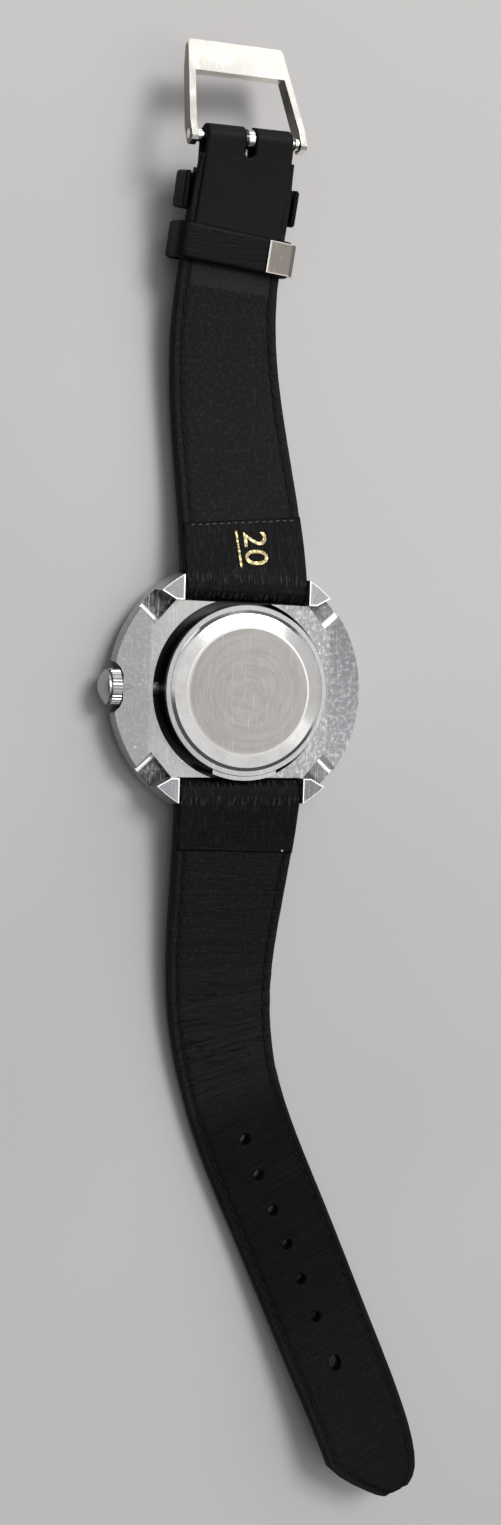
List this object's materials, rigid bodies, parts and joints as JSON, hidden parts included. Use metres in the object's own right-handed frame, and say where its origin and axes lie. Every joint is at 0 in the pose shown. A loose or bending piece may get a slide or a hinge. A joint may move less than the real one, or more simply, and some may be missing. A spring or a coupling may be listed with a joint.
{
  "type": "wristwatch",
  "caption": "Hand-wound wristwatch lying face down: round steel case cut off at hidden lugs, domed crown, press-fit back, padded leather strap with pin buckle.",
  "frame": {"origin": "on the hand axis, at the crystal's outer face, on which the watch lies", "axes": "+Z from the dial towards the wearer's wrist, +Y towards twelve o'clock, -X towards the crown"},
  "size_m": [0.057, 0.2257, 0.0128],
  "materials": {
    "case_steel": "satin, scratched",
    "polished_steel": "polished",
    "warm_steel": "satin, worn",
    "bar_steel": "drawn",
    "rubber_seal": "matte",
    "clear_seal": "translucent",
    "crystal_glass": "clear",
    "dial_silver": "sunray silver",
    "marker_steel": "polished",
    "plate_brass": "gilt, matte",
    "bridge_nickel": "nickel plated",
    "wheel_steel": "snailed",
    "blued_steel": "heat blued",
    "ruby": "polished",
    "black_leather": "grained, worn",
    "lining_leather": "napped lining"
  },
  "bodies": {
    "case": {"case_shell": "case_steel", "mid_case": "case_steel", "case_back": "case_steel", "back_gasket": "rubber_seal", "front_bezel": "polished_steel", "crystal": "crystal_glass", "crystal_seal": "clear_seal", "tension_ring": "polished_steel", "stem_tube": "bar_steel", "movement_ring": "clear_seal", "dial": "dial_silver", "hour_markers": "marker_steel", "mainplate": "plate_brass", "barrel_bridge": "bridge_nickel", "train_bridge": "bridge_nickel", "balance_cock": "bridge_nickel", "pallet_bridge": "bridge_nickel", "click_spring": "wheel_steel", "hairspring": "blued_steel", "jewels": "ruby", "bridge_screws": "blued_steel", "spring_bar_tubes": "bar_steel"},
    "seconds": {"fourth_wheel": "plate_brass", "seconds_hand": "marker_steel"},
    "minutes": {"centre_wheel": "plate_brass", "cannon_pinion": "wheel_steel", "minute_hand": "marker_steel"},
    "hours": {"hour_wheel": "plate_brass", "hour_hand": "marker_steel"},
    "minute_wheel": {"minute_wheel": "plate_brass"},
    "third_wheel": {"third_wheel": "plate_brass"},
    "escape_wheel": {"escape_wheel": "plate_brass"},
    "barrel": {"barrel_drum": "plate_brass", "mainspring": "wheel_steel"},
    "pallet_fork": {"pallet_fork": "wheel_steel"},
    "balance": {"balance_wheel": "plate_brass"},
    "clutch": {"sliding_clutch": "wheel_steel"},
    "crown_and_stem": {"crown": "polished_steel", "winding_stem": "wheel_steel", "crown_gasket": "rubber_seal"},
    "winding_pinion": {"winding_pinion": "wheel_steel"},
    "crown_wheel": {"crown_wheel": "wheel_steel"},
    "ratchet": {"ratchet_wheel": "wheel_steel", "barrel_arbor": "wheel_steel"},
    "click": {"click": "wheel_steel"},
    "setting_lever": {"setting_lever": "wheel_steel"},
    "strap_12": {"buckle_strap_leather": "black_leather", "buckle_strap_lining": "lining_leather", "fixed_keeper": "black_leather"},
    "free_keeper": {"free_keeper": "black_leather", "keeper_clip": "polished_steel"},
    "buckle": {"buckle_frame": "warm_steel", "buckle_pin": "polished_steel"},
    "tongue": {"buckle_tongue": "polished_steel"},
    "strap_6": {"hole_strap_leather": "black_leather", "hole_strap_lining": "lining_leather"},
    "bar_tip_12_left": {"bar_tip_12_left": "bar_steel"},
    "bar_tip_12_right": {"bar_tip_12_right": "bar_steel"},
    "bar_tip_6_left": {"bar_tip_6_left": "bar_steel"},
    "bar_tip_6_right": {"bar_tip_6_right": "bar_steel"}
  },
  "joints": [
    {"name": "seconds_turn", "type": "hinge", "parent": "case", "child": "seconds", "pos_m": [0, 0, 0], "axis": [0, 0, 1], "continuous": true},
    {"name": "minutes_turn", "type": "hinge", "parent": "case", "child": "minutes", "pos_m": [0, 0, 0], "axis": [0, 0, 1], "continuous": true},
    {"name": "hours_turn", "type": "hinge", "parent": "case", "child": "hours", "pos_m": [0, 0, 0], "axis": [0, 0, 1], "continuous": true},
    {"name": "minute_wheel_turn", "type": "hinge", "parent": "case", "child": "minute_wheel", "pos_m": [0.00118, -0.00204, 0], "axis": [0, 0, 1], "continuous": true},
    {"name": "third_wheel_turn", "type": "hinge", "parent": "case", "child": "third_wheel", "pos_m": [-0.00058, -0.0033, 0], "axis": [0, 0, 1], "continuous": true},
    {"name": "escape_wheel_turn", "type": "hinge", "parent": "case", "child": "escape_wheel", "pos_m": [0.00296, -0.00108, 0], "axis": [0, 0, 1], "continuous": true},
    {"name": "barrel_turn", "type": "hinge", "parent": "case", "child": "barrel", "pos_m": [-0.00333, 0.00475, 0], "axis": [0, 0, 1], "continuous": true},
    {"name": "pallet_swing", "type": "hinge", "parent": "case", "child": "pallet_fork", "pos_m": [0.0046, 0.00103, 0], "axis": [0, 0, 1], "range_deg": [-6, 6]},
    {"name": "balance_swing", "type": "hinge", "parent": "case", "child": "balance", "pos_m": [0.0066, 0.0036, 0], "axis": [0, 0, 1], "range_deg": [-270, 270]},
    {"name": "crown_turn", "type": "hinge", "parent": "case", "child": "clutch", "pos_m": [0, 0, 0.004], "axis": [1, 0, 0], "continuous": true},
    {"name": "crown_pull", "type": "slide", "parent": "clutch", "child": "crown_and_stem", "axis": [-1, 0, 0], "range_m": [0, 0.001]},
    {"name": "winding_pinion_turn", "type": "hinge", "parent": "case", "child": "winding_pinion", "pos_m": [0, 0, 0.004], "axis": [1, 0, 0], "continuous": true},
    {"name": "crown_wheel_turn", "type": "hinge", "parent": "case", "child": "crown_wheel", "pos_m": [-0.0073, 0.00145, 0], "axis": [0, 0, 1], "continuous": true},
    {"name": "ratchet_turn", "type": "hinge", "parent": "case", "child": "ratchet", "pos_m": [-0.00333, 0.00475, 0], "axis": [0, 0, 1], "continuous": true},
    {"name": "click_lift", "type": "hinge", "parent": "case", "child": "click", "pos_m": [-0.00146, 0.00825, 0], "axis": [0, 0, 1], "range_deg": [0, 8]},
    {"name": "setting_lever_turn", "type": "hinge", "parent": "case", "child": "setting_lever", "pos_m": [-0.01035, -0.0029, 0], "axis": [0, 0, 1], "range_deg": [0, 22.8]},
    {"name": "strap_12_swing", "type": "hinge", "parent": "case", "child": "strap_12", "pos_m": [0, 0.0154, 0.0052], "axis": [1, 0, 0], "range_deg": [-20, 85]},
    {"name": "strap_6_swing", "type": "hinge", "parent": "case", "child": "strap_6", "pos_m": [0, -0.0154, 0.0052], "axis": [-1, 0, 0], "range_deg": [-20, 85]},
    {"name": "buckle_swing", "type": "hinge", "parent": "strap_12", "child": "buckle", "pos_m": [-0.00359, 0.08014, 0.01055], "axis": [0.9932, 0.0853, -0.0798], "range_deg": [-30, 50]},
    {"name": "tongue_swing", "type": "hinge", "parent": "strap_12", "child": "tongue", "pos_m": [-0.00359, 0.08014, 0.01055], "axis": [0.9932, 0.0853, -0.0798], "range_deg": [-2, 105]},
    {"name": "free_keeper_slide", "type": "slide", "parent": "strap_12", "child": "free_keeper", "axis": [0.0569, 0.9748, 0.2156], "range_m": [-0.004, 0.0016]},
    {"name": "bar_tip_12_left_press", "type": "slide", "parent": "case", "child": "bar_tip_12_left", "axis": [1, 0, 0], "range_m": [0, 0.0013]},
    {"name": "bar_tip_6_left_press", "type": "slide", "parent": "case", "child": "bar_tip_6_left", "axis": [1, 0, 0], "range_m": [0, 0.0013]},
    {"name": "bar_tip_12_right_press", "type": "slide", "parent": "case", "child": "bar_tip_12_right", "axis": [-1, 0, 0], "range_m": [0, 0.0013]},
    {"name": "bar_tip_6_right_press", "type": "slide", "parent": "case", "child": "bar_tip_6_right", "axis": [-1, 0, 0], "range_m": [0, 0.0013]}
  ],
  "couplings": [
    {"joint": "minutes_turn", "follows": "seconds_turn", "ratio": 0.016667},
    {"joint": "hours_turn", "follows": "seconds_turn", "ratio": 0.0013889},
    {"joint": "minute_wheel_turn", "follows": "seconds_turn", "ratio": -0.0055556},
    {"joint": "third_wheel_turn", "follows": "seconds_turn", "ratio": -0.13333},
    {"joint": "escape_wheel_turn", "follows": "seconds_turn", "ratio": -10},
    {"joint": "barrel_turn", "follows": "seconds_turn", "ratio": -0.0027778},
    {"joint": "winding_pinion_turn", "follows": "crown_turn", "ratio": 1},
    {"joint": "crown_wheel_turn", "follows": "crown_turn", "ratio": 0.5},
    {"joint": "ratchet_turn", "follows": "crown_turn", "ratio": -0.35},
    {"joint": "setting_lever_turn", "follows": "crown_pull", "rad_per_m": 397.89}
  ]
}
